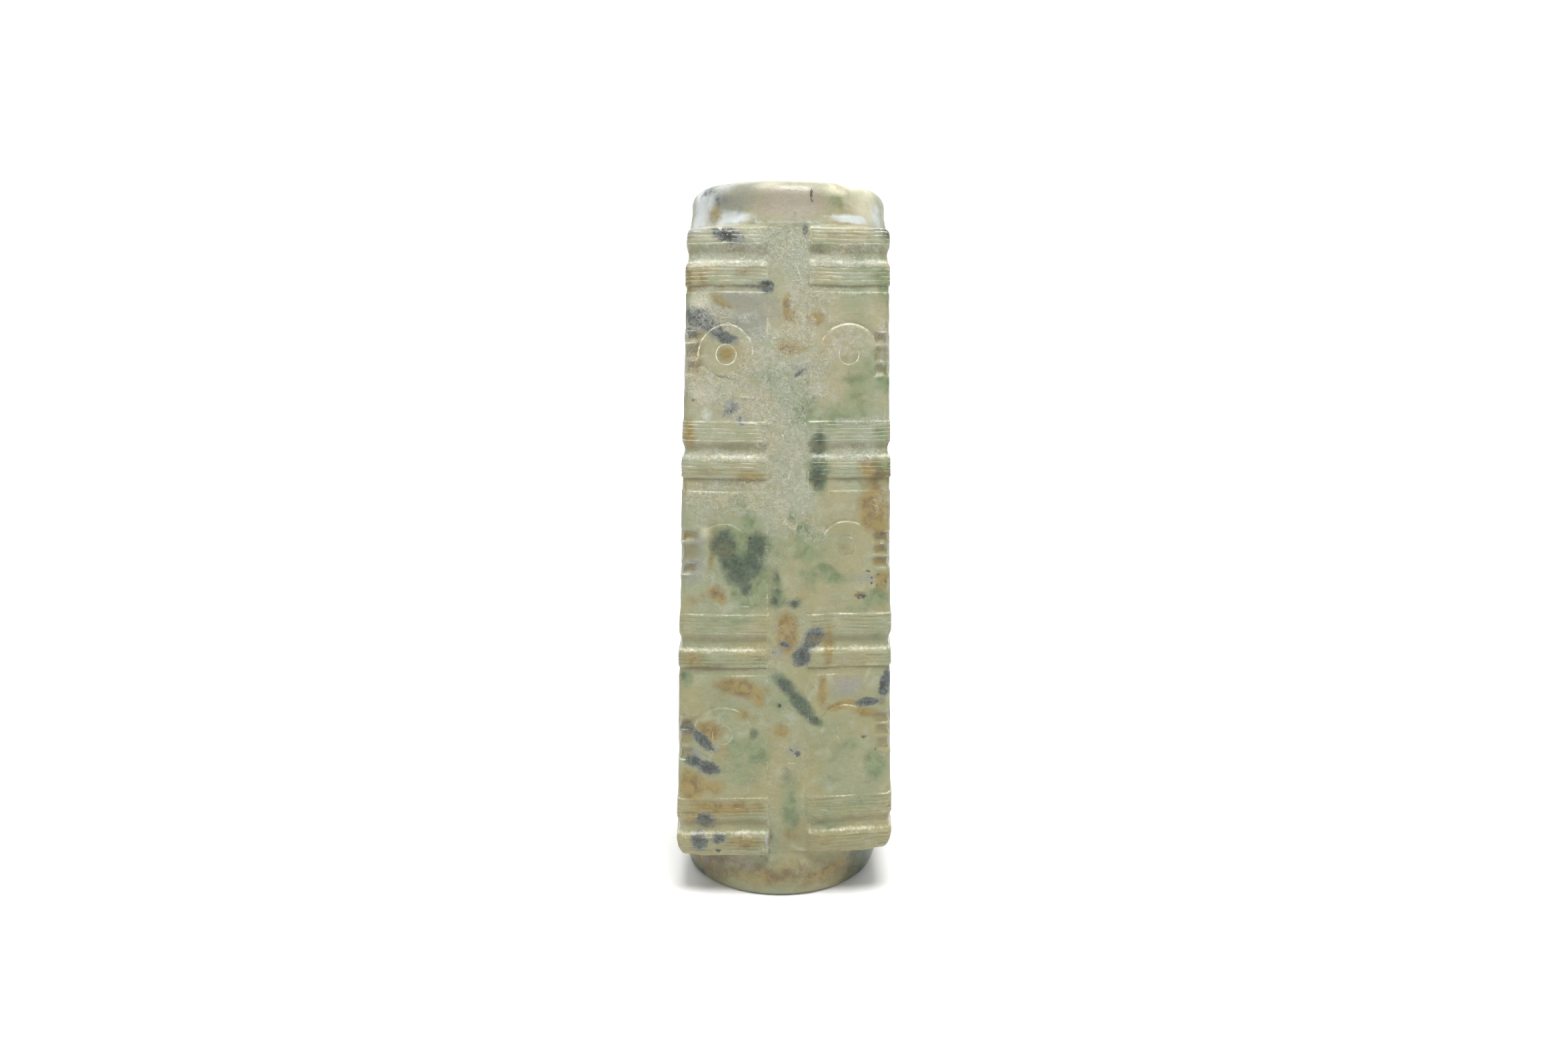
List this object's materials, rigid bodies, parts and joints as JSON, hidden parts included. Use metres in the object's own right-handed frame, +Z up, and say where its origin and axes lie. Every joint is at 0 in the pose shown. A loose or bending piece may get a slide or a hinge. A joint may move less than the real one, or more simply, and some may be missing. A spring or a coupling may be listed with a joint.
{
  "type": "jade cong",
  "caption": "Tall tiered jade cong: square outside with bowed faces, round bore inside, a collar at each end, carved bands, drilled eyes and notched corner noses.",
  "frame": {"origin": "on the ground, under the centre of the bounding box, which the cong stands on with its lower rim", "axes": "+Z up along the bore, +Y towards the back face, +X to the right of the front face"},
  "size_m": [0.0713, 0.0714, 0.2258],
  "materials": {
    "jade": "waxy worn polish, pale yellow-green with grey, ochre and dark green patches"
  },
  "bodies": {
    "root": {"jade_cong": "jade"}
  },
  "joints": []
}
